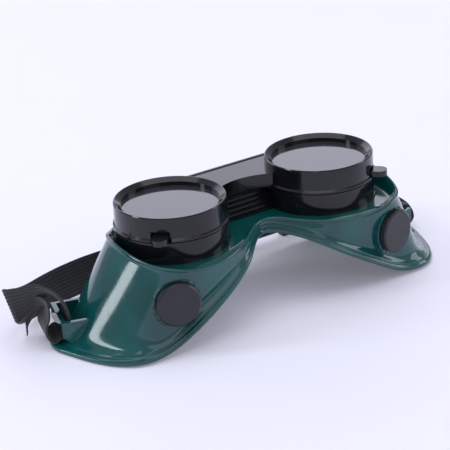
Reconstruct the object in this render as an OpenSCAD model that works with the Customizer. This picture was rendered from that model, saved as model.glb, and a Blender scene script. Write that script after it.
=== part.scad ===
// Flip-up welding goggles, lying lens side up with the face side down.
// X runs across the eyes, +Y towards the brow, +Z out through the lenses.
// The middle plane is x = 0 and the soft body rests on z = 0.

/* [Lens holders] */
// Distance from the middle plane to each lens axis
eye_x = 44.4; // [44:0.1:45]
// Outside radius of a flip-up ring
ring_r = 27.5; // [27.4:0.1:27.8]
// Radius of a standard round filter lens
lens_r = 25; // [24.8:0.05:25]
// Thickness of the dark filter lens
shade_t = 2.8; // [2:0.1:2.8]
// Thickness of the clear cover lens
clear_t = 2.4; // [1.8:0.1:2.4]
// Width of the lever tab on a filter retainer
tab_w = 7.8; // [6:0.1:7.8]

/* [Hinge] */
// Height of the hinge axis
hinge_z = 55; // [55:0.05:55.1]
// Distance of the hinge axis behind the lens axes
hinge_y = 32; // [32:0.1:32.5]
// Outside radius of the fixed hinge barrel
barrel_r = 3; // [2.6:0.1:3]
// Radius of the hinge pin
pin_r = 1.5; // [1.3:0.05:1.5]

/* [Soft body] */
// Wall thickness of the soft body
wall_t = 2; // [1.8:0.1:2]
// Height of the face round the lens sockets
face_z = 41.4; // [41.2:0.1:41.5]
// Outward bulge of the cup walls
cup_bulge = 0.6; // [0.3:0.1:0.9]

/* [Vents] */
// Radius of a vent cap
cap_r = 11; // [10:0.1:11.2]
// Number of castellations round a vent boss
castle_count = 18; // [12:1:20]

/* [Strap] */
// Width of the elastic strap
strap_w = 20; // [18:0.5:20]
// Thickness of the elastic strap
strap_t = 1.2; // [1:0.1:1.3]

/* [Hidden] */
$fn = 96;
left = -1;
right = 1;
chin = -1;
brow = 1;
eps = 0.01;

// Flip-up ring, from its bottom edge to its rim
ring_z0 = 53;
ring_z1 = 65;
rim_bore_r = 24.2;
seat_r = lens_r + 0.15;
shade_top = 61.2;
shade_z = shade_top - shade_t;
gasket_t = 0.6;
gasket_in_r = 22.8;
retainer_out_r = lens_r + 0.07;
retainer_in_r = 22.6;
retainer_z0 = 53.2;
retainer_z1 = shade_z - gasket_t;
lug_r = 25.9;
groove_r = 26;
groove_z0 = 53.9;
groove_z1 = 55.1;
// The lever tab points down and out towards the temple
tab_angle = 48;
tab_reach = 34.9;
tab_z0 = 53.7;
tab_z1 = 56.6;
notch_w = 10.2;
notch_top = 58.2;

// Bridge plate between the two rings
plate_top = 60;
plate_t = 2.2;
plate_back = 25;
arch_r = 29;
arch_y = -22;
skirt_t = 1.8;

// Hinge: a fixed barrel between two ears of the flip-up front
barrel_half = 39.8;
ear_in = 40.2;
ear_out = 48.2;
ear_r = 3.1;
ear_bore_r = pin_r + 0.06;
pin_half = 48.5;
head_t = 1.4;
head_r = 2.4;

// Lens sockets of the fixed frame
collar_r = 27.6;
collar_top = 52.5;
neck_r = 27;
neck_z0 = 36.4;
socket_bore_r = 23.6;
clear_top = 50.6;
clear_z = clear_top - clear_t;
clear_ret_z0 = 44;
clear_ret_z1 = clear_z - gasket_t;
rib_count = 5;
clamp_r = 28.2;

// Deck of the fixed bridge, and the saddle that carries the barrel
deck_z0 = 49.6;
deck_z1 = 51.8;
saddle_y0 = 29.4;
saddle_y1 = 34.6;

// Vents: the cap's outer centre on the right half and the outward turn of its axis
chin_vent = [65.3, -37, 26.7];
chin_turn = 15;
brow_vent = [47, 38.4, 28.6];
brow_turn = 4;
cap_t = 3;
boss_r = 12.2;
boss_bore_r = 9.4;
boss_gap = 0.5;
boss_depth = 7.2;
seat_flange_r = 10.2;
seat_flange_t = 1.2;
stem_r = 4;

// Strap loops at the temples
loop_x0 = 104.2;
loop_x1 = 106.6;
loop_top = 15;
loop_bar_z0 = 7.2;
loop_y0 = 4.4;
loop_y1 = 30.6;
loop_leg = 2;
loop_foot_z = 4;
// The loop is turned about its front end, so that it follows the temple
loop_turn = 16.5;
loop_pivot = [105.4, 5];
// Where each leg runs into the cup wall, at its top and at its foot
loop_root = [92, 98.5];

// Outline stations of the right half, from the nose round the temple to the
// brow: crest of the lip, edge of the flange, flange width and flange rise.
STATIONS = [
    [[0, -14.5, 45.5], [0, -14, 39.3], 1, 2],
    [[16, -23.5, 43], [17, -27.5, 35], 2, 3.5],
    [[32, -32.6, 41.4], [34.8, -34.5, 24], 3.5, 5],
    [[49, -35.5, 41.1], [53, -36.2, 13.3], 4.5, 6],
    [[64.3, -35, 44.3], [70.5, -35, 4.5], 5, 6],
    [[72.5, -27, 46], [88.5, -32.5, 2.8], 6.5, 5.5],
    [[76.3, -13.5, 48], [101.5, -16, 1.5], 8.5, 4],
    [[76.8, 0, 49.8], [107.5, 0, 1.5], 9.5, 3.5],
    [[74, 12.5, 49.3], [109.3, 14, 1.5], 12, 4],
    [[67, 22, 46.5], [96, 32.5, 1.5], 9, 5.5],
    [[59, 31, 43.8], [70, 36.5, 4.5], 4.5, 6],
    [[48, 34.5, 43.8], [51, 38, 10], 4, 4.5],
    [[34, 34.7, 43.9], [34, 38, 17.5], 4, 5],
    [[18, 32.5, 44], [18, 36.5, 27], 4, 6],
    [[0, 30.5, 44], [0, 35, 29.5], 4, 5]
];
SPAN = len(STATIONS) - 1;
STEPS = 4;
HALF = SPAN * STEPS;
LOOP = 2 * HALF;
// Stations at which the middle line of the face has reached the lens axis
NOSE_SPAN = 3;

// ---------- shared helpers ----------

module at_eye(side) translate([side * eye_x, 0, 0]) children();

module disc(r, z0, z1) translate([0, 0, z0]) cylinder(r = r, h = z1 - z0);

module ring(r_in, r_out, z0, z1)
    difference() {
        disc(r_out, z0, z1);
        disc(r_in, z0 - 1, z1 + 1);
    }

// A bar along X with its centre at y, z
module x_rod(r, x0, x1, y, z)
    translate([x0, y, z]) rotate([0, 90, 0]) cylinder(r = r, h = x1 - x0);

// Local Z points out of the cup wall, with z = 0 at the cap's outer face
module at_vent(side, e) {
    place = e == chin ? chin_vent : brow_vent;
    turn = e == chin ? chin_turn : brow_turn;
    translate([side * place[0], place[1], place[2]])
        rotate([0, 0, e * side * -turn])
            rotate([e * -90, 0, 0])
                children();
}

// ---------- curves of the soft body ----------

// Smooth curve through p1 and p2, with p0 and p3 as its neighbours
function through(p0, p1, p2, p3, t) =
    0.5 * (2 * p1 + (p2 - p0) * t + (2 * p0 - 5 * p1 + 4 * p2 - p3) * t * t
        + (3 * p1 - p0 - 3 * p2 + p3) * t * t * t);

// A station, mirrored across the middle plane past either end of the half
function mirrored(s) = [[-s[0][0], s[0][1], s[0][2]], [-s[1][0], s[1][1], s[1][2]], s[2], s[3]];
function station(i) =
    i < 0 ? mirrored(STATIONS[-i]) : i > SPAN ? mirrored(STATIONS[2 * SPAN - i]) : STATIONS[i];

function curve(i, what) =
    let (k = min(floor(i / STEPS), SPAN - 1), t = i / STEPS - k)
    through(station(k - 1)[what], station(k)[what], station(k + 1)[what], station(k + 2)[what], t);

// Index along the right half for a place in the whole loop, and its side
function fold(j) = j <= HALF ? j : LOOP - j;
function side_of(j) = j <= HALF ? right : left;
function nose_step(i) = min(i, HALF - i, NOSE_SPAN * STEPS);
function middle(i) = [eye_x * nose_step(i) / (NOSE_SPAN * STEPS), 0, face_z];
function inward(p, i) =
    let (d = middle(i) - p, f = [d[0], d[1], 0])
    f / norm(f);
function lip(i) = curve(i, 0);
function edge(i) =
    let (e = curve(i, 1))
    [e[0], e[1], max(e[2], wall_t)];
function land(i) =
    edge(i) + inward(edge(i), i) * min(land_w, curve(i, 2) / 2) - [0, 0, wall_t];
function crease(i) = edge(i) + inward(edge(i), i) * curve(i, 2) + [0, 0, curve(i, 3)];
function level(p, z) = [p[0], p[1], z];
function bulged(a, b, i, s, out) =
    a + (b - a) * s - inward(a + (b - a) * s, i) * out * sin(180 * s);

// Widest flat land under the flange's edge
land_w = 4;
groove_in = 1.6;
face_in = 3.4;
under_in = 2.8;
under_drop = 2.8;
function groove(i) = lip(i) + inward(lip(i), i) * groove_in - [0, 0, 1.1];
function face(i) = level(lip(i) + inward(lip(i), i) * face_in, face_z);
function under_lip(i) =
    level(lip(i) + inward(lip(i), i) * under_in, min(lip(i)[2] - under_drop, face_z - 1.2));
function under_crease(i) =
    crease(i) + inward(edge(i), i) * (wall_t * 0.8) - [0, 0, wall_t * 0.8];
function under_face(i) = level(face(i), face_z - wall_t);

// The rings of the shell at one place, from the outer face round the flange to the inner face
function shell_rings(i) = [
    face(i),
    groove(i),
    lip(i),
    bulged(lip(i), crease(i), i, 0.3, cup_bulge),
    bulged(lip(i), crease(i), i, 0.7, cup_bulge),
    crease(i),
    edge(i),
    edge(i) - [0, 0, wall_t],
    land(i),
    under_crease(i),
    bulged(under_lip(i), under_crease(i), i, 0.7, cup_bulge),
    bulged(under_lip(i), under_crease(i), i, 0.3, cup_bulge),
    under_lip(i),
    under_face(i)
];
function sided(p, s) = [s * p[0], p[1], p[2]];
RINGS = len(shell_rings(0));
MIDS = NOSE_SPAN * STEPS;
function ring_at(r, j) = r * LOOP + (j % LOOP);
// Vertices along the middle line: x = 0 first, then the right, then the left
function mid_at(base, j) =
    let (i = fold(j % LOOP), m = nose_step(i))
    base + (m == 0 ? 0 : side_of(j % LOOP) == right ? m : MIDS + m);
function middle_points(z) = [
    [0, 0, z],
    for (s = [right, left], m = [1 : MIDS]) [s * eye_x * m / MIDS, 0, z]
];
function fan(a, b, c, d) = c == d ? [[a, b, c]] : [[a, b, c], [a, c, d]];

module soft_shell() {
    points = concat(
        [for (r = [0 : RINGS - 1], j = [0 : LOOP - 1])
            sided(shell_rings(fold(j))[r], side_of(j))],
        middle_points(face_z),
        middle_points(face_z - wall_t));
    top = RINGS * LOOP;
    under = top + 2 * MIDS + 1;
    faces = [
        for (r = [0 : RINGS - 2], j = [0 : LOOP - 1])
            each [[ring_at(r, j), ring_at(r, j + 1), ring_at(r + 1, j + 1)],
                [ring_at(r, j), ring_at(r + 1, j + 1), ring_at(r + 1, j)]],
        for (j = [0 : LOOP - 1])
            each fan(ring_at(0, j + 1), ring_at(0, j), mid_at(top, j), mid_at(top, j + 1)),
        for (j = [0 : LOOP - 1])
            each fan(ring_at(RINGS - 1, j), ring_at(RINGS - 1, j + 1),
                mid_at(under, j + 1), mid_at(under, j))
    ];
    polyhedron(points = points, faces = faces, convexity = 8);
}

module vent_boss() disc(boss_r, -boss_depth, -cap_t - boss_gap);

module vent_bore() {
    disc(boss_bore_r, -16, 1);
    disc(cap_r + 0.5, -cap_t - boss_gap, 4);
    disc(seat_flange_r + 0.4, -16, -boss_depth);
    for (k = [0 : castle_count - 1])
        rotate([0, 0, k * 360 / castle_count])
            translate([boss_bore_r - 0.5, -0.8, -cap_t - boss_gap - 1.2])
                cube([boss_r - boss_bore_r + 0.8, 1.6, 4]);
}

// A standing bar that the strap wraps, with a leg at each end
module strap_loop(side)
    mirror([side == left ? 1 : 0, 0, 0])
    translate([loop_pivot[0], loop_pivot[1], 0])
    rotate([0, 0, loop_turn])
    translate([-loop_pivot[0], -loop_pivot[1], 0]) {
        translate([loop_x0, loop_y0, loop_bar_z0])
            cube([loop_x1 - loop_x0, loop_y1 - loop_y0, loop_top - loop_bar_z0]);
        loop_leg_at(loop_y0);
        loop_leg_at(loop_y1 - loop_leg);
    }

module loop_leg_at(y)
    translate([0, y + loop_leg, 0])
        rotate([90, 0, 0])
            linear_extrude(loop_leg)
                polygon([[loop_root[0], loop_top], [loop_x1, loop_top], [loop_x1, loop_bar_z0],
                    [loop_root[1] + 4, loop_foot_z], [loop_root[1], loop_foot_z]]);

// ---------- nodes of the fixed part ----------

module goggle_body()
    color("#0f4f4b")
        difference() {
            union() {
                soft_shell();
                for (side = [left, right]) {
                    strap_loop(side);
                    for (e = [chin, brow]) at_vent(side, e) vent_boss();
                }
            }
            for (side = [left, right]) {
                at_eye(side) disc(neck_r + 0.1, 30, 60);
                for (e = [chin, brow]) at_vent(side, e) vent_bore();
            }
        }

// Slanted front of the fixed bridge, closing the space under the plate
apron_top = [7, 51.8];
apron_foot = [2.4, 42.2];
module apron() {
    profile = [apron_top, apron_foot, apron_foot + [2, 0], apron_top + [4, -1.8], apron_top + [4, 0]];
    translate([-20, 0, 0])
        rotate([90, 0, 90])
            linear_extrude(40) polygon(profile);
    for (k = [0 : rib_count - 1])
        let (p = apron_top + (apron_foot - apron_top) * (0.04 + 0.92 * k / (rib_count - 1)))
        translate([-19, p[0] - 1.4, p[1] - 0.5])
            cube([38, 2.2, 1]);
}

module socket_frame()
    color("#1a1a1e")
        difference() {
            union() {
                for (side = [left, right]) at_eye(side) {
                    disc(neck_r, neck_z0, collar_top);
                    disc(collar_r, face_z + eps, collar_top - 1);
                    disc(collar_r + 0.4, face_z + eps, face_z + 1.2);
                    disc(collar_r + 0.7, collar_top - 1 - eps, collar_top);
                }
                translate([-30, 8, deck_z0]) cube([60, 21, deck_z1 - deck_z0]);
                apron();
                translate([-barrel_half, 20, deck_z0])
                    cube([2 * barrel_half, saddle_y1 - 20, deck_z1 - deck_z0]);
                translate([-barrel_half, saddle_y0, deck_z1 - eps])
                    cube([2 * barrel_half, saddle_y1 - saddle_y0, hinge_z - deck_z1]);
                x_rod(barrel_r, -barrel_half, barrel_half, hinge_y, hinge_z);
            }
            for (side = [left, right]) at_eye(side) {
                disc(socket_bore_r, 30, 60);
                disc(seat_r, 30, clear_top);
            }
            x_rod(pin_r, -barrel_half - 1, barrel_half + 1, hinge_y, hinge_z);
        }

module hinge_pin()
    color("#8b8f94") {
        x_rod(pin_r, -pin_half, pin_half, hinge_y, hinge_z);
        for (x = [-pin_half - head_t, pin_half])
            x_rod(head_r, x, x + head_t, hinge_y, hinge_z);
    }

module clear_lens(side)
    color("#dfeaf0", 0.4) at_eye(side) disc(lens_r, clear_z, clear_top);

module clear_gasket(side)
    color("#2b2b2b") at_eye(side) ring(gasket_in_r, lens_r, clear_ret_z1, clear_z);

// Two finger notches let the ring be turned from behind
module clear_retainer(side)
    color("#1d1d21")
        at_eye(side)
            difference() {
                ring(retainer_in_r, seat_r, clear_ret_z0, clear_ret_z1);
                for (a = [0, 180])
                    rotate([0, 0, a])
                        translate([retainer_in_r - 1, -2, clear_ret_z0 - 1])
                            cube([2.2, 4, 2.4]);
            }

// Grips the soft face between itself and the collar
module clamp_ring(side)
    color("#1d1d21")
        at_eye(side) ring(neck_r + 0.05, clamp_r, neck_z0 + 0.2, face_z - wall_t - eps);

module vent_cap(side, e)
    color("#26262a")
        at_vent(side, e) {
            disc(cap_r, -cap_t, -0.8);
            translate([0, 0, -0.8]) cylinder(r1 = cap_r, r2 = cap_r - 0.8, h = 0.8);
            disc(stem_r, -boss_depth - 0.2, -cap_t);
        }

// Perforated plug in the boss that the cap's stem snaps into
module vent_seat(side, e)
    color("#2a2a2e")
        at_vent(side, e)
            difference() {
                union() {
                    disc(boss_bore_r - 0.05, -boss_depth - 0.2, -cap_t - 2.6);
                    disc(seat_flange_r, -boss_depth - seat_flange_t, -boss_depth - eps);
                }
                disc(stem_r + 0.05, -13, 0);
                for (k = [0 : 7])
                    rotate([0, 0, k * 45])
                        translate([6.7, 0, -13])
                            cylinder(r = 1.4, h = 14);
            }

// ---------- nodes of the flip-up front ----------

module flip_ring() {
    rotate_extrude()
        polygon([[20, ring_z0], [ring_r + 0.9, ring_z0], [ring_r + 0.9, ring_z0 + 0.8],
            [ring_r + 0.1, ring_z0 + 1.6], [ring_r, ring_z1 - 0.5], [ring_r - 0.4, ring_z1],
            [20, ring_z1]]);
}

module flip_ring_bore() {
    disc(rim_bore_r, ring_z0 - 1, ring_z1 + 1);
    disc(seat_r, ring_z0 - 1, shade_top);
    disc(groove_r, groove_z0, groove_z1);
    translate([0, 0, ring_z1 - 1.8])
        cylinder(r1 = rim_bore_r, r2 = ring_r - 0.7, h = 1.8 + eps);
}

module at_tab(side)
    rotate([0, 0, side == right ? -tab_angle : 180 + tab_angle]) children();

module bridge_plate()
    difference() {
        union() {
            translate([-eye_x, 0, plate_top - plate_t])
                cube([2 * eye_x, plate_back, plate_t]);
            intersection() {
                translate([0, arch_y, 0]) ring(arch_r, arch_r + skirt_t, ring_z0, plate_top);
                translate([-20, 0, ring_z0]) cube([40, 10, plate_top - ring_z0]);
            }
        }
        translate([0, arch_y, 0]) disc(arch_r, 50, 62);
    }

module ear(side)
    mirror([side == left ? 1 : 0, 0, 0]) {
        x_rod(ear_r, ear_in, ear_out, hinge_y, hinge_z);
        translate([ear_in, 24, 53.3]) cube([ear_out - ear_in, hinge_y - 24, 4.8]);
    }

module flip_front()
    color("#1c1c20")
        difference() {
            union() {
                for (side = [left, right]) {
                    at_eye(side) flip_ring();
                    ear(side);
                }
                bridge_plate();
            }
            for (side = [left, right]) at_eye(side) {
                flip_ring_bore();
                at_tab(side)
                    translate([22, -notch_w / 2, ring_z0 - 1])
                        cube([10, notch_w, notch_top - ring_z0 + 1]);
            }
            x_rod(ear_bore_r, -60, 60, hinge_y, hinge_z);
        }

module shade_lens(side)
    color("#5d6070") at_eye(side) disc(lens_r, shade_z, shade_top);

module shade_gasket(side)
    color("#2b2b2b") at_eye(side) ring(gasket_in_r, lens_r, retainer_z1, shade_z);

// Ring with three bayonet lugs and a lever tab that reaches out through the notch
module shade_retainer(side)
    color("#222226")
        at_eye(side) {
            difference() {
                union() {
                    disc(retainer_out_r, retainer_z0, retainer_z1);
                    intersection() {
                        disc(lug_r, groove_z0 + 0.1, groove_z1 - 0.1);
                        for (a = [0, 120, 240])
                            at_tab(side) rotate([0, 0, a + 60])
                                translate([20, -4, 50]) cube([8, 8, 8]);
                    }
                    at_tab(side)
                        translate([24, -tab_w / 2, tab_z0])
                            cube([tab_reach - 24 - tab_w / 2, tab_w, tab_z1 - tab_z0]);
                }
                disc(retainer_in_r, 50, 60);
            }
            at_tab(side)
                translate([tab_reach - tab_w / 2, 0, tab_z0])
                    cylinder(d = tab_w, h = tab_z1 - tab_z0);
        }

// ---------- strap ----------

// Stations of the strap's middle line, each with the direction from its
// front or upper edge to its rear or lower edge.
STRAP = [
    [[-113.4, 30, 10.8], [0.05, 0.1, -0.99]],
    [[-112.5, 27.5, 15], [0.05, 0.35, -0.93]],
    [[-109.8, 23.8, 18.6], [0.1, 0.62, -0.78]],
    [[-107.2, 20.8, 19.4], [0.22, 0.86, -0.44]],
    [[-107.8, 19.2, 16.6], [0.28, 0.96, 0]],
    [[-109.8, 19.3, 12], [0.28, 0.96, 0]],
    [[-109.3, 19.2, 6.8], [0.28, 0.96, 0]],
    [[-106.3, 18.3, 4], [0.28, 0.96, 0]],
    [[-103.2, 17.4, 5.6], [0.28, 0.96, 0]],
    [[-100.3, 16.5, 5.8], [0.28, 0.96, 0]],
    [[-98.8, 16.1, 8.6], [0.28, 0.96, 0]],
    [[-98.4, 16, 15], [0.28, 0.96, 0]],
    [[-100, 16.6, 21], [0.27, 0.94, -0.2]],
    [[-105, 18.5, 25.2], [0.15, 0.87, -0.47]],
    [[-111.6, 21, 25], [0.07, 0.5, -0.86]],
    [[-117.6, 24, 22.6], [0.15, 0.24, -0.95]],
    [[-121.6, 26.9, 21], [0.26, -0.05, -0.96]],
    [[-121, 29.6, 20.2], [0.22, 0, -0.97]],
    [[-114, 38, 14.4], [0.1, 0, -1]],
    [[-104, 45.5, 10.8], [0, 0, -1]],
    [[-92, 50.5, 10.5], [0, 0, -1]],
    [[-78, 54.5, 10.5], [0, 0, -1]],
    [[-60, 57, 10.5], [0, 0, -1]],
    [[-30, 55.6, 11], [0, 0, -1]],
    [[5, 51.6, 12], [0, 0, -1]],
    [[30, 50, 12.2], [0, 0, -1]],
    [[38, 50, 12.2], [0, 0, -1]],
    [[60, 50, 12.2], [0, 0, -1]],
    [[88, 50, 12.2], [0, 0, -1]],
    [[92, 50, 12.2], [0, 0, -1]],
    [[102, 47.6, 11.2], [0, 0.15, -0.99]],
    [[109, 40.8, 9.4], [-0.1, 0.6, -0.8]],
    [[111.6, 32, 7.8], [-0.2, 0.78, -0.6]],
    [[111.4, 24.6, 8.2], [-0.26, 0.9, -0.35]],
    [[109.8, 19.3, 7.2], [-0.28, 0.96, 0]],
    [[106.3, 18.3, 4], [-0.28, 0.96, 0]],
    [[103.2, 17.4, 5.6], [-0.28, 0.96, 0]],
    [[100.3, 16.5, 5.8], [-0.28, 0.96, 0]],
    [[98.8, 16.1, 8.6], [-0.28, 0.96, 0]],
    [[98.6, 16, 13], [-0.28, 0.96, 0]],
    [[99.8, 16.4, 15.9], [-0.28, 0.96, 0]],
    [[102.4, 17.2, 16.4], [-0.28, 0.96, 0]],
    [[105.4, 18, 15.2], [-0.28, 0.96, 0]],
    [[107, 18.5, 12], [-0.28, 0.96, 0]]
];
STRAP_STEPS = 2;
STRAP_LAST = (len(STRAP) - 1) * STRAP_STEPS;
function strap_station(k) = STRAP[max(0, min(len(STRAP) - 1, k))];
function strap_curve(i, what) =
    let (k = min(floor(i / STRAP_STEPS), len(STRAP) - 2), t = i / STRAP_STEPS - k)
    through(strap_station(k - 1)[what], strap_station(k)[what],
        strap_station(k + 1)[what], strap_station(k + 2)[what], t);
function unit(v) = v / norm(v);
function strap_section(i) =
    let (
        along = strap_curve(min(i + 0.5, STRAP_LAST), 0) - strap_curve(max(i - 0.5, 0), 0),
        across = unit(strap_curve(i, 1)),
        out = unit(cross(along, across)),
        p = strap_curve(i, 0), w = across * strap_w / 2, h = out * strap_t / 2)
    [p + w + h, p - w + h, p - w - h, p + w - h];

module strap()
    color("#1b1b1d") {
        points = [for (i = [0 : STRAP_LAST]) each strap_section(i)];
        sides = [
            for (i = [0 : STRAP_LAST - 1], c = [0 : 3])
                let (a = 4 * i + c, b = 4 * i + (c + 1) % 4)
                each [[a, b + 4, b], [a, a + 4, b + 4]]
        ];
        last = 4 * STRAP_LAST;
        ends = [[1, 2, 3], [0, 1, 3], [last + 2, last + 1, last], [last + 3, last + 2, last]];
        polyhedron(points = points, faces = concat(sides, ends), convexity = 8);
    }

// Ladder slider that grips the straight rear run of the strap
slider_x = 60;
slider_y = 50;
slider_z = 12.2;
slider_w = 15;
slider_bar = 3;
slider_wall = 1.6;
slider_gap = 0.3;
module strap_slider()
    color("#202024") {
        high = strap_w / 2 + slider_gap;
        near = slider_y - strap_t / 2 - slider_gap;
        far = slider_y + strap_t / 2 + slider_gap;
        translate([slider_x - slider_bar / 2, near - slider_wall, slider_z - high])
            cube([slider_bar, slider_wall, 2 * high]);
        for (x = [slider_x - slider_w / 2, slider_x + slider_w / 2 - slider_bar])
            translate([x, far, slider_z - high])
                cube([slider_bar, slider_wall, 2 * high]);
        for (z = [slider_z - high - slider_wall, slider_z + high])
            translate([slider_x - slider_w / 2, near - slider_wall, z])
                cube([slider_w, far - near + 2 * slider_wall, slider_wall]);
    }

// ---------- what is drawn ----------

goggle_body();
socket_frame();
flip_front();
hinge_pin();
shade_lens(left);  // shade_lens_left
shade_lens(right);  // shade_lens_right
shade_gasket(left);  // shade_gasket_left
shade_gasket(right);  // shade_gasket_right
shade_retainer(left);  // shade_retainer_left
shade_retainer(right);  // shade_retainer_right
clear_lens(left);  // clear_lens_left
clear_lens(right);  // clear_lens_right
clear_gasket(left);  // clear_gasket_left
clear_gasket(right);  // clear_gasket_right
clear_retainer(left);  // clear_retainer_left
clear_retainer(right);  // clear_retainer_right
clamp_ring(left);  // clamp_ring_left
clamp_ring(right);  // clamp_ring_right
vent_cap(left, chin);  // vent_cap_left_chin
vent_cap(right, chin);  // vent_cap_right_chin
vent_cap(left, brow);  // vent_cap_left_brow
vent_cap(right, brow);  // vent_cap_right_brow
vent_seat(left, chin);  // vent_seat_left_chin
vent_seat(right, chin);  // vent_seat_right_chin
vent_seat(left, brow);  // vent_seat_left_brow
vent_seat(right, brow);  // vent_seat_right_brow
strap();
strap_slider();
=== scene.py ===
"""Looks for the flip-up welding goggles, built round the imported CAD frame.

Lengths of the object are typed in millimetres and turned to metres by MM. The floor and the
lights are placed in metres. The soft body and the strap replace their plain CAD solids, and
every other CAD node keeps its shape.
"""
import math
import random

import bpy
import numpy as np
from mathutils import Matrix, Vector


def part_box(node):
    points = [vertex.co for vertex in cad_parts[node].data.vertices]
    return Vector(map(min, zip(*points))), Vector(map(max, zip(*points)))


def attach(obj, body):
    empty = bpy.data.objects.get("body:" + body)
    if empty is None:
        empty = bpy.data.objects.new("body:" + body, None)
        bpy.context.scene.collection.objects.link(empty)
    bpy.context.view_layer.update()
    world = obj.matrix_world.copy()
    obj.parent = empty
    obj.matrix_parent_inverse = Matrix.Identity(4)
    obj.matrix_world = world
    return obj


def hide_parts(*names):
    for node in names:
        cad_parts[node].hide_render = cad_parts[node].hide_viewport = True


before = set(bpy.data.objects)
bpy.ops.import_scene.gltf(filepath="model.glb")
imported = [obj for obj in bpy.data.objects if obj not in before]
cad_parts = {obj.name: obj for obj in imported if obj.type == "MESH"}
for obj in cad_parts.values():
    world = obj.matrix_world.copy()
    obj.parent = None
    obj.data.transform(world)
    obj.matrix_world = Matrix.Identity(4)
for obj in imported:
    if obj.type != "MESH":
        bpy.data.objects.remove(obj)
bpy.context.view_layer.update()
MM = 0.001
UP = np.array([0.0, 0.0, 1.0])
SIDES = (("left", -1), ("right", 1))

# ---------- camera ----------

CAMERA_PLACE = (-460.6, -711.9, 398.6)
AZIMUTH, ELEVATION, ROLL = -32.10, 23.03, -3.92
LENS_MM = 147.64


def make_camera():
    """The photograph's viewpoint: a long lens, seen from the chin side and the left."""
    azimuth, elevation, roll = (math.radians(a) for a in (AZIMUTH, ELEVATION, ROLL))
    back = Vector((math.sin(azimuth) * math.cos(elevation),
                   -math.cos(azimuth) * math.cos(elevation),
                   math.sin(elevation)))
    right = (-back).cross(Vector((0, 0, 1))).normalized()
    up = right.cross(-back)
    rolled_right = math.cos(roll) * right + math.sin(roll) * up
    rolled_up = math.cos(roll) * up - math.sin(roll) * right
    data = bpy.data.cameras.new("camera")
    data.sensor_width = 36
    data.lens = LENS_MM
    data.clip_start = 0.01
    data.clip_end = 50
    camera = bpy.data.objects.new("camera", data)
    bpy.context.scene.collection.objects.link(camera)
    turn = Matrix((rolled_right, rolled_up, back)).transposed()
    camera.matrix_world = Matrix.Translation(Vector(CAMERA_PLACE) * MM) @ turn.to_4x4()
    bpy.context.scene.camera = camera


# ---------- materials ----------


class Paint:
    """A node material, with short calls for the nodes that this file uses."""

    def __init__(self, name, **sockets):
        self.material = bpy.data.materials.new(name)
        self.material.use_nodes = True
        self.tree = self.material.node_tree
        self.shader = self.tree.nodes["Principled BSDF"]
        for socket, value in sockets.items():
            self.shader.inputs[socket.replace("_", " ")].default_value = value
        self.place = self.node("ShaderNodeTexCoord").outputs["Object"]

    def node(self, kind, **fields):
        made = self.tree.nodes.new(kind)
        for field, value in fields.items():
            setattr(made, field, value)
        return made

    def link(self, source, target):
        self.tree.links.new(source, target)

    def noise(self, scale, detail=4, stretch=(1, 1, 1), roughness=0.5):
        """Noise with about `scale` features a metre."""
        mapping = self.node("ShaderNodeMapping")
        mapping.inputs["Scale"].default_value = stretch
        self.link(self.place, mapping.inputs["Vector"])
        made = self.node("ShaderNodeTexNoise")
        made.inputs["Scale"].default_value = scale
        made.inputs["Detail"].default_value = detail
        made.inputs["Roughness"].default_value = roughness
        self.link(mapping.outputs["Vector"], made.inputs["Vector"])
        return made.outputs["Fac"]

    def ramp(self, source, low, high, low_value, high_value):
        """Maps low..high to low_value..high_value, with the ends held."""
        made = self.node("ShaderNodeMapRange")
        for socket, value in zip(("From Min", "From Max", "To Min", "To Max"),
                                 (low, high, low_value, high_value)):
            made.inputs[socket].default_value = value
        self.link(source, made.inputs["Value"])
        return made.outputs["Result"]

    def blend(self, factor, first, second):
        """A colour between two, each a socket or an RGB triple."""
        made = self.node("ShaderNodeMix", data_type="RGBA")
        self.link(factor, made.inputs["Factor"])
        for socket, colour in ((made.inputs[6], first), (made.inputs[7], second)):
            if isinstance(colour, tuple):
                socket.default_value = (*colour, 1)
            else:
                self.link(colour, socket)
        return made.outputs[2]

    def maths(self, operation, first, second):
        made = self.node("ShaderNodeMath", operation=operation)
        for socket, value in zip(made.inputs, (first, second)):
            if isinstance(value, (int, float)):
                socket.default_value = value
            else:
                self.link(value, socket)
        return made.outputs[0]

    def wear(self):
        """High on convex edges, broken up by noise."""
        sharp = self.ramp(self.node("ShaderNodeNewGeometry").outputs["Pointiness"],
                          0.60, 0.72, 0.0, 0.7)
        return self.maths("MULTIPLY", sharp, self.ramp(self.noise(900), 0.4, 0.65, 0.2, 1.0))

    def colour(self, socket):
        self.link(socket, self.shader.inputs["Base Color"])

    def rough(self, socket):
        self.link(socket, self.shader.inputs["Roughness"])

    def bump(self, height, depth_mm, before=None):
        made = self.node("ShaderNodeBump")
        made.inputs["Strength"].default_value = 1.0
        made.inputs["Distance"].default_value = depth_mm * MM
        self.link(height, made.inputs["Height"])
        if before is not None:
            self.link(before, made.inputs["Normal"])
        self.link(made.outputs["Normal"], self.shader.inputs["Normal"])
        return made.outputs["Normal"]


def green_pvc():
    """Glossy soft PVC, dyed through, with slow ripples from moulding."""
    p = Paint("green_pvc", IOR=1.50, Coat_Weight=0.30, Coat_Roughness=0.05)
    deep, light = (0.001, 0.056, 0.056), (0.002, 0.084, 0.084)
    clouds = p.ramp(p.noise(45, detail=3), 0.35, 0.65, 0.0, 1.0)
    p.colour(p.blend(p.wear(), p.blend(clouds, deep, light), (0.012, 0.125, 0.125)))
    p.rough(p.ramp(p.noise(320, detail=5), 0.35, 0.7, 0.07, 0.15))
    ripples = p.bump(p.noise(60, detail=1), 0.10)
    p.bump(p.noise(2600, detail=2), 0.004, before=ripples)
    return p.material


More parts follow.
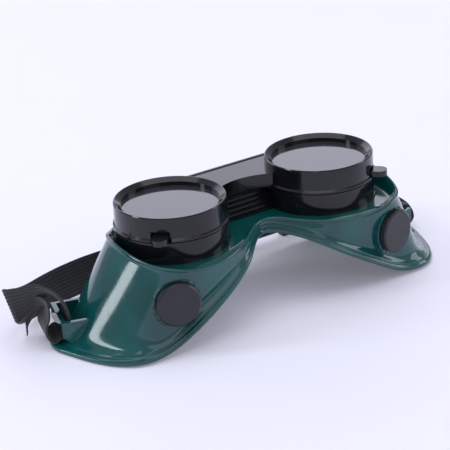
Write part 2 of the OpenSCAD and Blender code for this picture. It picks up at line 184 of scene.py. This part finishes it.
def moulded(name, low, high, roughness, flow=(1, 1, 1), grain_mm=0.004, ior=1.44, coat=0.1):
    """Hard moulded plastic: faint flow lines, handling marks and paler rubbed edges."""
    p = Paint(name, IOR=ior, Coat_Weight=coat, Coat_Roughness=0.08)
    flow_lines = p.ramp(p.noise(70, detail=5, stretch=flow), 0.35, 0.65, 0.0, 1.0)
    rubbed = tuple(min(1.0, 3.2 * c + 0.02) for c in high)
    p.colour(p.blend(p.wear(), p.blend(flow_lines, low, high), rubbed))
    marks = p.noise(650, detail=6, stretch=(1, 0.35, 1), roughness=0.7)
    p.rough(p.ramp(marks, 0.35, 0.75, roughness[0], roughness[1]))
    p.bump(p.noise(3200, detail=3), grain_mm)
    return p.material


def filter_glass():
    """Dark filter glass with a reflective front, faint smears and specks of dust."""
    p = Paint("filter_glass", IOR=1.80, Coat_Weight=0.0)
    specks = p.ramp(p.noise(5200, detail=2), 0.70, 0.76, 0.0, 0.25)
    p.colour(p.blend(specks, (0.030, 0.030, 0.042), (0.22, 0.22, 0.26)))
    smears = p.noise(60, detail=6, stretch=(1, 3, 1), roughness=0.65)
    p.rough(p.ramp(smears, 0.4, 0.7, 0.015, 0.07))
    return p.material


def cover_glass():
    p = Paint("cover_glass", IOR=1.5, Transmission_Weight=0.96)
    tint = p.ramp(p.noise(35), 0.3, 0.7, 0.0, 1.0)
    p.colour(p.blend(tint, (0.90, 0.95, 0.95), (0.95, 0.98, 0.98)))
    p.rough(p.ramp(p.noise(220, detail=6), 0.4, 0.7, 0.01, 0.05))
    return p.material


def rubber():
    p = Paint("gasket_rubber", IOR=1.45)
    p.colour(p.blend(p.noise(260, detail=6), (0.008, 0.008, 0.008), (0.022, 0.022, 0.023)))
    p.rough(p.ramp(p.noise(900), 0.3, 0.7, 0.6, 0.85))
    p.bump(p.noise(5000), 0.02)
    return p.material


def steel():
    """Drawn wire: scratches run along X, the pin's own axis."""
    p = Paint("pin_steel", Metallic=1.0)
    drawn = p.noise(1500, detail=5, stretch=(0.02, 1, 1))
    p.colour(p.blend(drawn, (0.42, 0.42, 0.44), (0.66, 0.66, 0.68)))
    p.rough(p.ramp(drawn, 0.3, 0.7, 0.22, 0.42))
    p.bump(drawn, 0.01)
    return p.material


def elastic():
    """Woven elastic: fine picks across the ribs, and fuzz."""
    p = Paint("woven_elastic", IOR=1.45, Sheen_Weight=0.35, Sheen_Roughness=0.5)
    cloth = p.node("ShaderNodeUVMap", uv_map="along").outputs["UV"]
    picks = p.node("ShaderNodeTexWave", wave_type="BANDS", bands_direction="X")
    picks.inputs["Scale"].default_value = 0.32
    picks.inputs["Distortion"].default_value = 0.6
    picks.inputs["Detail"].default_value = 1.0
    scaled = p.node("ShaderNodeMapping")
    scaled.inputs["Scale"].default_value = (1000, 1000, 1)
    p.link(cloth, scaled.inputs["Vector"])
    p.link(scaled.outputs["Vector"], picks.inputs["Vector"])
    fuzz = p.noise(4200, detail=3)
    shade = p.maths("MULTIPLY", picks.outputs["Fac"], fuzz)
    p.colour(p.blend(shade, (0.010, 0.010, 0.013), (0.036, 0.035, 0.041)))
    p.rough(p.ramp(fuzz, 0.3, 0.7, 0.62, 0.85))
    weave = p.bump(picks.outputs["Fac"], 0.04)
    p.bump(fuzz, 0.05, before=weave)
    return p.material


def floor_paint():
    p = Paint("pale_paper", IOR=1.35, Emission_Color=(0.90, 0.89, 1.0, 1),
              Emission_Strength=0.15)
    p.colour(p.blend(p.noise(3, detail=3), (0.80, 0.79, 0.93), (0.83, 0.82, 0.95)))
    p.rough(p.ramp(p.noise(40), 0.3, 0.7, 0.55, 0.7))
    return p.material


# ---------- meshes ----------


def new_piece(name, points, faces, paint, body, slot, smooth=True):
    """A mesh piece from points in metres, riding on a CAD body."""
    mesh = bpy.data.meshes.new(name)
    mesh.from_pydata([tuple(p) for p in points], [], faces)
    mesh.update()
    piece = bpy.data.objects.new(name, mesh)
    bpy.context.scene.collection.objects.link(piece)
    mesh.materials.append(paint)
    mesh.polygons.foreach_set("use_smooth", [smooth] * len(mesh.polygons))
    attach(piece, body)
    return piece


def apply_modifiers(piece):
    """Swaps the piece's mesh for the one its modifiers make."""
    graph = bpy.context.evaluated_depsgraph_get()
    made = bpy.data.meshes.new_from_object(piece.evaluated_get(graph))
    piece.modifiers.clear()
    piece.data = made


def bevel(piece, width_mm, segments=2, angle=32):
    """Rounds the edges that turn by more than the angle, in degrees."""
    made = piece.modifiers.new("bevel", "BEVEL")
    made.width = width_mm * MM
    made.segments = segments
    made.limit_method = "ANGLE"
    made.angle_limit = math.radians(angle)


def smooth_by_angle(mesh, degrees):
    """Smooth shading, with edges sharper than the angle kept crisp."""
    mesh.polygons.foreach_set("use_smooth", [True] * len(mesh.polygons))
    mesh.set_sharp_from_angle(angle=math.radians(degrees))


# ---------- soft body ----------

# The stations of part.scad, right half: crest of the lip, edge of the flange,
# flange width and flange rise.
STATIONS = [
    ((0, -14.5, 45.5), (0, -14, 39.3), 1, 2),
    ((16, -23.5, 43), (17, -27.5, 35), 2, 3.5),
    ((32, -32.6, 41.4), (34.8, -34.5, 24), 3.5, 5),
    ((49, -35.5, 41.1), (53, -36.2, 13.3), 4.5, 6),
    ((64.3, -35, 44.3), (70.5, -35, 4.5), 5, 6),
    ((72.5, -27, 46), (88.5, -32.5, 2.8), 6.5, 5.5),
    ((76.3, -13.5, 48), (101.5, -16, 1.5), 8.5, 4),
    ((76.8, 0, 49.8), (107.5, 0, 1.5), 9.5, 3.5),
    ((74, 12.5, 49.3), (109.3, 14, 1.5), 12, 4),
    ((67, 22, 46.5), (96, 32.5, 1.5), 9, 5.5),
    ((59, 31, 43.8), (70, 36.5, 4.5), 4.5, 6),
    ((48, 34.5, 43.8), (51, 38, 10), 4, 4.5),
    ((34, 34.7, 43.9), (34, 38, 17.5), 4, 5),
    ((18, 32.5, 44), (18, 36.5, 27), 4, 6),
    ((0, 30.5, 44), (0, 35, 29.5), 4, 5),
]
NOSE_SPAN = 3
WALL = 2.0
FACE_Z = 41.4
BULGE = 0.6
EYE_X = 44.4
NECK_HOLE_R = 27.1


def closed_spline(values, steps):
    """Smooth closed curve through the rows of `values`, with `steps` samples a span."""
    count = len(values)
    matrix = np.zeros((count, count))
    for i in range(count):
        matrix[i, (i - 1) % count] = 1
        matrix[i, i] = 4
        matrix[i, (i + 1) % count] = 1
    around = np.roll(values, -1, 0) - 2 * values + np.roll(values, 1, 0)
    bend = np.linalg.solve(matrix, 6 * around)
    rows = []
    for i in range(count):
        j = (i + 1) % count
        for s in range(steps):
            t = s / steps
            u = 1 - t
            rows.append(u * values[i] + t * values[j]
                        + ((u ** 3 - u) * bend[i] + (t ** 3 - t) * bend[j]) / 6)
    return np.array(rows)


def outline(steps):
    """Lip, edge, width, rise and middle of the face at each place round the whole body."""
    rows = []
    span = len(STATIONS) - 1
    for k in list(range(span + 1)) + list(range(span - 1, 0, -1)):
        side = 1 if len(rows) <= span else -1
        lip, edge, width, rise = STATIONS[k]
        reach = min(k, span - k, NOSE_SPAN) / NOSE_SPAN
        rows.append([side * lip[0], *lip[1:], side * edge[0], *edge[1:], width, rise,
                     side * EYE_X * reach])
    return closed_spline(np.array(rows, float), steps)


def level(v):
    return v * np.array([1.0, 1.0, 0.0])


def unit(v):
    return v / np.linalg.norm(v)


def body_section(row):
    """Points of the shell's section, from the outer face over the lip and flange to the inner face."""
    lip, edge, width, rise = row[0:3], row[3:6].copy(), row[6], row[7]
    edge[2] = max(edge[2], WALL)
    middle = np.array([row[8], 0.0, 0.0])
    lip_in = unit(level(middle - lip))
    edge_in = unit(level(middle - edge))
    crease = edge + edge_in * width + UP * rise

    def at_lip(inward, up):
        return lip + lip_in * inward + UP * up

    def at_face(inward, z):
        return level(lip + lip_in * inward) + UP * z

    def at_edge(inward, up):
        return edge + edge_in * inward + UP * up

    def wall(share, depth):
        start = at_lip(0.2, -1.6)
        p = start + (crease - start) * share
        tangent = unit(level(lip_in + edge_in))
        return p + tangent * (depth - BULGE * math.sin(math.pi * share))

    dish = FACE_Z + 0.22 * (lip[2] - FACE_Z)
    across = unit(edge_in * width + UP * rise)
    normal = np.cross(across, np.cross(UP, edge_in))
    normal = normal if normal[2] > 0 else -normal

    def on_flange(share, lift):
        return edge + (crease - edge) * share + normal * lift

    land = min(4.0, width / 2)
    inner_top = min(lip[2] - 2.8, FACE_Z - 1.2)
    return [
        at_face(7.0, FACE_Z), at_face(4.9, FACE_Z),
        at_face(3.6, dish - 0.1), at_lip(2.0, -1.35),
        at_lip(1.35, -0.75), at_lip(0.8, 0.25), at_lip(0.0, 0.35),
        at_lip(-0.55, -0.2), at_lip(-0.45, -0.95), at_lip(0.15, -1.35),
        wall(0.06, 0), wall(0.2, 0), wall(0.4, 0), wall(0.6, 0), wall(0.8, 0), wall(0.93, 0.1),
        on_flange(0.9, 0.25), on_flange(0.62, 0.0),
        on_flange(0.44, 0.0), on_flange(0.36, -0.35), on_flange(0.28, -0.35), on_flange(0.2, 0.25),
        at_edge(0.5, 0.35), at_edge(-0.05, 0.0), at_edge(-0.05, -0.9), at_edge(0.0, -WALL + 0.25),
        at_edge(0.5, -WALL), at_edge(land, -WALL),
        crease + edge_in * WALL * 0.8 - UP * WALL * 0.8,
        wall(0.7, WALL), wall(0.45, WALL), wall(0.2, WALL),
        level(lip + lip_in * 3.2) + UP * inner_top,
        at_face(4.6, FACE_Z - WALL), at_face(7.0, FACE_Z - WALL),
    ]


BODY_STEPS = 4


def make_shell(paint):
    """The moulded green body: a smooth closed shell, without its sockets and vent pockets, which
    make_body cuts.
    """
    sections = [body_section(row) for row in outline(BODY_STEPS)]
    count, rings = len(sections), len(sections[0])
    points = [s[r] * MM for r in range(rings) for s in sections]

    def at(ring, place):
        return ring * count + place % count

    faces = [(at(r, j), at(r, j + 1), at(r + 1, j + 1), at(r + 1, j))
             for r in range(rings - 1) for j in range(count)]
    faces.append([at(0, j) for j in reversed(range(count))])
    faces.append([at(rings - 1, j) for j in range(count)])
    shell = new_piece("body_shell", points, faces, paint, "mask", "green_pvc")
    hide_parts("goggle_body")
    smoothing = shell.modifiers.new("smooth", "SUBSURF")
    smoothing.levels = smoothing.render_levels = 2
    apply_modifiers(shell)
    return shell


def lathe_points(profile, count, place):
    """Points and quads of a closed (radius, height) profile turned about local Z."""
    points, faces = [], []
    rows = len(profile)
    for j in range(count):
        a = 2 * math.pi * j / count
        for radius, height in profile:
            points.append(place @ Vector((radius * math.cos(a), radius * math.sin(a), height)) * MM)
    for j in range(count):
        for r in range(rows):
            here, there = j * rows, (j + 1) % count * rows
            s = (r + 1) % rows
            faces.append((here + r, there + r, there + s, here + s))
    return points, faces


def rod_points(radius, low, high, count, place):
    """Points and faces of a closed cylinder along local Z."""
    points = [place @ Vector((radius * math.cos(2 * math.pi * j / count),
                              radius * math.sin(2 * math.pi * j / count), z)) * MM
              for z in (low, high) for j in range(count)]
    faces = [(j, (j + 1) % count, count + (j + 1) % count, count + j) for j in range(count)]
    faces.append(list(reversed(range(count))))
    faces.append([count + j for j in range(count)])
    return points, faces


def scratch_object(name, points, faces):
    mesh = bpy.data.meshes.new(name)
    mesh.from_pydata([tuple(p) for p in points], [], faces)
    made = bpy.data.objects.new(name, mesh)
    bpy.context.scene.collection.objects.link(made)
    return made


def carve(piece, tools, operation="DIFFERENCE"):
    """Cuts the tools out of the piece, or joins them to it, and removes them."""
    for tool in tools:
        made = piece.modifiers.new("carve", "BOOLEAN")
        made.operation = operation
        made.solver = "EXACT"
        made.object = tool
    apply_modifiers(piece)
    for tool in tools:
        bpy.data.objects.remove(tool)


CHIN_VENT = ((65.3, -37.0, 26.7), 15)
BROW_VENT = ((47.0, 38.4, 28.6), 4)
BOSS_R = 12.2
BOSS_BORE_R = 9.4
BOSS_TOP = -3.5
BOSS_DEPTH = 7.2
POCKET_GAP = 0.25
POCKET_SINK = 0.4
BORE_GAP = 0.4
TEETH = 18
TOOTH_R = (11.35, 12.15)
TOOTH_HALF_W = 0.62
TOOTH_Z = (BOSS_TOP - 0.3, BOSS_TOP + 0.35)


def vent_places():
    """Each vent's name and the transform from its own axes, with Z out of the cup, in mm."""
    for edge_name, edge, (place, turn) in (("chin", -1, CHIN_VENT), ("brow", 1, BROW_VENT)):
        for side_name, side in SIDES:
            where = Matrix.Translation((side * place[0], place[1], place[2]))
            where @= Matrix.Rotation(math.radians(-turn * edge * side), 4, "Z")
            where @= Matrix.Rotation(math.radians(-90 * edge), 4, "X")
            yield f"{side_name}_{edge_name}", where


def make_vent_boss(name, where, paint):
    """Ring that the cap sits on, with a row of small teeth round it."""
    profile = [(BOSS_BORE_R, -BOSS_DEPTH), (BOSS_R, -BOSS_DEPTH), (BOSS_R, BOSS_TOP - 0.2),
               (BOSS_R - 0.2, BOSS_TOP), (BOSS_BORE_R + 0.3, BOSS_TOP), (BOSS_BORE_R, BOSS_TOP - 0.3)]
    points, faces = lathe_points(profile, 72, where)
    for k in range(TEETH):
        around = where @ Matrix.Rotation(2 * math.pi * k / TEETH, 4, "Z")
        base = len(points)
        corners = [(x, y, z) for z in TOOTH_Z
                   for x, y in ((TOOTH_R[0], -TOOTH_HALF_W), (TOOTH_R[1], -TOOTH_HALF_W),
                                (TOOTH_R[1], TOOTH_HALF_W), (TOOTH_R[0], TOOTH_HALF_W))]
        points += [around @ Vector(c) * MM for c in corners]
        faces += [tuple(base + i for i in f)
                  for f in ((3, 2, 1, 0), (4, 5, 6, 7), (0, 1, 5, 4), (1, 2, 6, 5), (2, 3, 7, 6),
                            (3, 0, 4, 7))]
    boss = new_piece(f"vent_boss_{name}", points, faces, paint, "mask", "green_pvc")
    bevel(boss, 0.18)
    apply_modifiers(boss)
    smooth_by_angle(boss.data, 40)
    return boss


LOOP_X = (104.2, 106.6)
LOOP_Y = (4.4, 30.6)
LOOP_Z = (7.2, 15.0)
LOOP_LEG = 2.0
LOOP_FOOT_Z = 4.0
LOOP_ROOT = (92.0, 98.5)
LOOP_TURN = 16.5
LOOP_PIVOT = (105.4, 5.0)


def prism(outline_xz, y0, y1, side):
    """A plate cut to an outline in X and Z, from y0 to y1."""
    flat = [(side * x, z) for x, z in outline_xz]
    if side < 0:
        flat.reverse()
    count = len(flat)
    points = [Vector((x, y, z)) * MM for y in (y0, y1) for x, z in flat]
    faces = [(j, count + j, count + (j + 1) % count, (j + 1) % count) for j in range(count)]
    faces.append(list(range(count)))
    faces.append([count + j for j in reversed(range(count))])
    return points, faces


def make_loop(name, side, paint):
    """The moulded loop that the strap wraps: a standing bar between two legs."""
    parts = [prism([(LOOP_X[0], LOOP_Z[0]), (LOOP_X[1], LOOP_Z[0]), (LOOP_X[1], LOOP_Z[1]),
                    (LOOP_X[0], LOOP_Z[1])], LOOP_Y[0] + 1, LOOP_Y[1] - 1, side)]
    for y in (LOOP_Y[0], LOOP_Y[1] - LOOP_LEG):
        parts.append(prism([(LOOP_ROOT[0], LOOP_Z[1]), (LOOP_X[1], LOOP_Z[1]),
                            (LOOP_X[1], LOOP_Z[0]), (LOOP_ROOT[1] + 4, LOOP_FOOT_Z),
                            (LOOP_ROOT[1], LOOP_FOOT_Z)], y, y + LOOP_LEG, side))
    pivot = Vector((side * LOOP_PIVOT[0], LOOP_PIVOT[1], 0)) * MM
    turn = Matrix.Translation(pivot) @ Matrix.Rotation(side * math.radians(LOOP_TURN), 4, "Z")
    turn @= Matrix.Translation(-pivot)
    parts = [([turn @ point for point in points], faces) for points, faces in parts]
    loop = new_piece(f"strap_loop_{name}", *parts[0], paint, "mask", "green_pvc")
    carve(loop, [scratch_object("tool", *p) for p in parts[1:]], "UNION")
    loop.data.materials.clear()
    loop.data.materials.append(paint)
    bevel(loop, 0.55, segments=3)
    apply_modifiers(loop)
    smooth_by_angle(loop.data, 40)
    return loop


def make_body(paint):
    """The shell with its lens holes and vent pockets, the four bosses and the two loops."""
    shell = make_shell(paint)
    tools = []
    for _, side in SIDES:
        place = Matrix.Translation((side * EYE_X, 0, 0))
        tools.append(scratch_object("hole", *rod_points(NECK_HOLE_R, 30, 60, 128, place)))
    for _, where in vent_places():
        pocket = rod_points(BOSS_R + POCKET_GAP, BOSS_TOP - POCKET_SINK, 9, 96, where)
        bore = rod_points(BOSS_BORE_R + BORE_GAP, -13, 4, 96, where)
        tools += [scratch_object("pocket", *pocket), scratch_object("bore", *bore)]
    carve(shell, tools)
    smooth_by_angle(shell.data, 42)
    for name, where in vent_places():
        make_vent_boss(name, where, paint)
    for name, side in SIDES:
        make_loop(name, side, paint)


# ---------- strap ----------

# The middle line of part.scad's strap, each point with the direction from its
# front or upper edge to its rear or lower edge.
STRAP = [
    ((-113.4, 30, 10.8), (0.05, 0.1, -0.99)),
    ((-112.5, 27.5, 15), (0.05, 0.35, -0.93)),
    ((-109.8, 23.8, 18.6), (0.1, 0.62, -0.78)),
    ((-107.2, 20.8, 19.4), (0.22, 0.86, -0.44)),
    ((-107.8, 19.2, 16.6), (0.28, 0.96, 0)),
    ((-109.8, 19.3, 12), (0.28, 0.96, 0)),
    ((-109.3, 19.2, 6.8), (0.28, 0.96, 0)),
    ((-106.3, 18.3, 4), (0.28, 0.96, 0)),
    ((-103.2, 17.4, 5.6), (0.28, 0.96, 0)),
    ((-100.3, 16.5, 5.8), (0.28, 0.96, 0)),
    ((-98.8, 16.1, 8.6), (0.28, 0.96, 0)),
    ((-98.4, 16, 15), (0.28, 0.96, 0)),
    ((-100, 16.6, 21), (0.27, 0.94, -0.2)),
    ((-105, 18.5, 25.2), (0.15, 0.87, -0.47)),
    ((-111.6, 21, 25), (0.07, 0.5, -0.86)),
    ((-117.6, 24, 22.6), (0.15, 0.24, -0.95)),
    ((-121.6, 26.9, 21), (0.26, -0.05, -0.96)),
    ((-121, 29.6, 20.2), (0.22, 0, -0.97)),
    ((-114, 38, 14.4), (0.1, 0, -1)),
    ((-104, 45.5, 10.8), (0, 0, -1)),
    ((-92, 50.5, 10.5), (0, 0, -1)),
    ((-78, 54.5, 10.5), (0, 0, -1)),
    ((-60, 57, 10.5), (0, 0, -1)),
    ((-30, 55.6, 11), (0, 0, -1)),
    ((5, 51.6, 12), (0, 0, -1)),
    ((30, 50, 12.2), (0, 0, -1)),
    ((38, 50, 12.2), (0, 0, -1)),
    ((60, 50, 12.2), (0, 0, -1)),
    ((88, 50, 12.2), (0, 0, -1)),
    ((92, 50, 12.2), (0, 0, -1)),
    ((102, 47.6, 11.2), (0, 0.15, -0.99)),
    ((109, 40.8, 9.4), (-0.1, 0.6, -0.8)),
    ((111.6, 32, 7.8), (-0.2, 0.78, -0.6)),
    ((111.4, 24.6, 8.2), (-0.26, 0.9, -0.35)),
    ((109.8, 19.3, 7.2), (-0.28, 0.96, 0)),
    ((106.3, 18.3, 4), (-0.28, 0.96, 0)),
    ((103.2, 17.4, 5.6), (-0.28, 0.96, 0)),
    ((100.3, 16.5, 5.8), (-0.28, 0.96, 0)),
    ((98.8, 16.1, 8.6), (-0.28, 0.96, 0)),
    ((98.6, 16, 13), (-0.28, 0.96, 0)),
    ((99.8, 16.4, 15.9), (-0.28, 0.96, 0)),
    ((102.4, 17.2, 16.4), (-0.28, 0.96, 0)),
    ((105.4, 18, 15.2), (-0.28, 0.96, 0)),
    ((107, 18.5, 12), (-0.28, 0.96, 0)),
]
STRAP_W = 20.0
STRAP_T = 1.2
STRAP_RIBS = 10
STRAP_STEPS = 8


def through(p0, p1, p2, p3, t):
    """Smooth curve through p1 and p2, with p0 and p3 as its neighbours."""
    return 0.5 * (2 * p1 + (p2 - p0) * t + (2 * p0 - 5 * p1 + 4 * p2 - p3) * t * t
                  + (3 * p1 - p0 - 3 * p2 + p3) * t ** 3)


def strap_line():
    """Middle points and edge directions along the strap, in mm."""
    stations = np.array([[*p, *d] for p, d in STRAP], float)
    last = len(stations) - 1
    rows = []
    for k in range(last):
        around = [stations[min(max(k + n, 0), last)] for n in (-1, 0, 1, 2)]
        rows += [through(*around, s / STRAP_STEPS) for s in range(STRAP_STEPS)]
    rows.append(stations[last])
    rows = np.array(rows)
    return rows[:, :3], rows[:, 3:]


def strap_section():
    """Offsets across and out of the strap: ten rounded ribs on each face."""
    samples = STRAP_RIBS * 8
    upper = []
    for s in range(samples + 1):
        across = -0.5 + s / samples
        rib = abs(math.sin(math.pi * STRAP_RIBS * s / samples)) ** 0.7
        rim = math.sqrt(max(0.0, 1 - (2 * abs(across)) ** 24))
        upper.append((across * STRAP_W, rim * (STRAP_T / 2 - 0.30 + 0.30 * rib)))
    return upper + [(a, -h) for a, h in reversed(upper[1:-1])]


def make_strap(paint):
    """The ribbed elastic swept along its middle line, which it returns with its edge directions."""
    middle, across = strap_line()
    section = strap_section()
    count = len(middle)
    length = np.concatenate([[0], np.cumsum(np.linalg.norm(np.diff(middle, axis=0), axis=1))])
    points = []
    for i in range(count):
        along = middle[min(i + 1, count - 1)] - middle[max(i - 1, 0)]
        side = unit(across[i])
        out = unit(np.cross(along, side))
        points += [(middle[i] + side * a + out * h) * MM for a, h in section]
    ring = len(section)
    faces = [(i * ring + c, i * ring + (c + 1) % ring, (i + 1) * ring + (c + 1) % ring,
              (i + 1) * ring + c) for i in range(count - 1) for c in range(ring)]
    faces.append(list(reversed(range(ring))))
    faces.append([(count - 1) * ring + c for c in range(ring)])
    strap = new_piece("strap_webbing", points, faces, paint, "mask", "elastic")
    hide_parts("strap")
    layer = strap.data.uv_layers.new(name="along")
    for loop in strap.data.loops:
        i, c = divmod(loop.vertex_index, ring)
        layer.data[loop.index].uv = (length[i] * MM, section[c][0] * MM)
    return middle, across


THREADS = 110
THREAD_SEED = 7
# Lowest place of a loose thread's middle line
FRAY_FLOOR = 0.3


def make_fray(middle, across, paint):
    """Loose threads at the strap's cut end."""
    draw = random.Random(THREAD_SEED)
    points, faces = [], []
    end, side = middle[0], unit(across[0])
    on = unit(middle[0] - middle[2])
    out = unit(np.cross(on, side))
    for _ in range(THREADS):
        start = end + side * draw.uniform(-0.48, 0.48) * STRAP_W + out * draw.uniform(-0.4, 0.4)
        reach = draw.uniform(0.6, 2.6)
        lean = side * draw.uniform(-0.35, 0.35) + out * draw.uniform(-0.35, 0.35)
        thick = draw.uniform(0.05, 0.09)
        base = len(points)
        for share in (-0.3, 0.35, 0.7, 1.0):
            at = start + on * reach * share + lean * reach * share * share
            narrow = thick * (1 - 0.6 * max(0.0, share))
            at[2] = max(at[2], FRAY_FLOOR)
            points += [(at + side * narrow) * MM, (at + out * narrow) * MM,
                       (at - side * narrow - out * narrow) * MM]
        for k in range(3):
            for c in range(3):
                a, b = base + 3 * k + c, base + 3 * k + (c + 1) % 3
                faces.append((a, b, b + 3, a + 3))
        faces.append((base + 2, base + 1, base))
        faces.append((base + 9, base + 10, base + 11))
    new_piece("strap_fray", points, faces, paint, "mask", "elastic")


# ---------- CAD nodes ----------


def finish_node(name, paint, edge_mm=0.0):
    """Gives a CAD node its material, and rounds its corners a little where asked."""
    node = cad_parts[name]
    node.data.materials.clear()
    node.data.materials.append(paint)
    if edge_mm:
        bevel(node, edge_mm)


def finish_nodes():
    black = moulded("black_plastic", (0.004, 0.004, 0.006), (0.010, 0.010, 0.014), (0.10, 0.20),
                    flow=(1, 0.3, 1))
    inner = moulded("inner_plastic", (0.006, 0.006, 0.008), (0.014, 0.014, 0.017), (0.22, 0.38))
    vent = moulded("vent_plastic", (0.014, 0.014, 0.019), (0.022, 0.021, 0.028), (0.30, 0.46),
                   grain_mm=0.02)
    shade, cover, gasket = filter_glass(), cover_glass(), rubber()
    finish_node("socket_frame", black, 0.25)
    finish_node("flip_front", black, 0.25)
    finish_node("hinge_pin", steel(), 0.2)
    finish_node("strap_slider", inner, 0.3)
    for side, _ in SIDES:
        finish_node(f"shade_lens_{side}", shade, 0.15)
        finish_node(f"clear_lens_{side}", cover, 0.15)
        finish_node(f"shade_gasket_{side}", gasket)
        finish_node(f"clear_gasket_{side}", gasket)
        finish_node(f"shade_retainer_{side}", black, 0.3)
        finish_node(f"clear_retainer_{side}", inner, 0.2)
        finish_node(f"clamp_ring_{side}", inner, 0.2)
        for edge in ("chin", "brow"):
            finish_node(f"vent_cap_{side}_{edge}", vent, 0.25)
            finish_node(f"vent_seat_{side}_{edge}", inner, 0.2)


# ---------- floor and lights ----------


def soft_light(name, place, target, size, radiance, colour):
    """A rectangular soft box whose face has this radiance, whatever its size."""
    data = bpy.data.lights.new(name, "AREA")
    data.shape = "RECTANGLE"
    data.size, data.size_y = size
    data.energy = radiance * math.pi * size[0] * size[1]
    data.color = colour
    light = bpy.data.objects.new(name, data)
    bpy.context.scene.collection.objects.link(light)
    light.location = place
    light.rotation_euler = (Vector(target) - Vector(place)).to_track_quat("-Z", "Y").to_euler()
    light.visible_camera = False


# Name, place and size in metres, radiance and colour of each soft box
LIGHTS = [
    ("key_left", (-1.64, 0.77, 0.88), (0.34, 1.5), 7.4, (0.86, 0.96, 1)),
    ("front", (0.35, -2.1, 1.25), (1.6, 0.9), 0.9, (0.90, 0.94, 1)),
    ("back", (0.54, 2.55, 1.08), (4.6, 1.15), 1.4, (0.84, 0.83, 1)),
    ("right", (1.95, -0.85, 0.72), (0.9, 1.1), 2.4, (0.88, 0.95, 1)),
    ("top", (0, 0, 2.4), (2.4, 2.4), 1.3, (1, 0.99, 0.99)),
]
LIGHT_TARGET = (0, 0, 0.03)
FLOOR_SIZE = 12
FLOOR_GAP = 0.0002


def make_studio():
    """A pale floor just under the body, an even sky and the soft boxes."""
    low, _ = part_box("goggle_body")
    bpy.ops.mesh.primitive_plane_add(size=FLOOR_SIZE, location=(0, 0, low.z - FLOOR_GAP))
    floor = bpy.context.object
    floor.name = "floor"
    floor.data.materials.append(floor_paint())
    world = bpy.data.worlds.new("studio")
    world.use_nodes = True
    world.node_tree.nodes["Background"].inputs["Color"].default_value = (0.90, 0.92, 1.0, 1)
    world.node_tree.nodes["Background"].inputs["Strength"].default_value = 0.46
    bpy.context.scene.world = world
    bpy.context.scene.view_settings.view_transform = "Standard"
    for name, place, size, radiance, colour in LIGHTS:
        soft_light(name, place, LIGHT_TARGET, size, radiance, colour)


make_camera()
pvc = green_pvc()
webbing = elastic()
make_body(pvc)
strap_middle, strap_across = make_strap(webbing)
make_fray(strap_middle, strap_across, webbing)
finish_nodes()
make_studio()
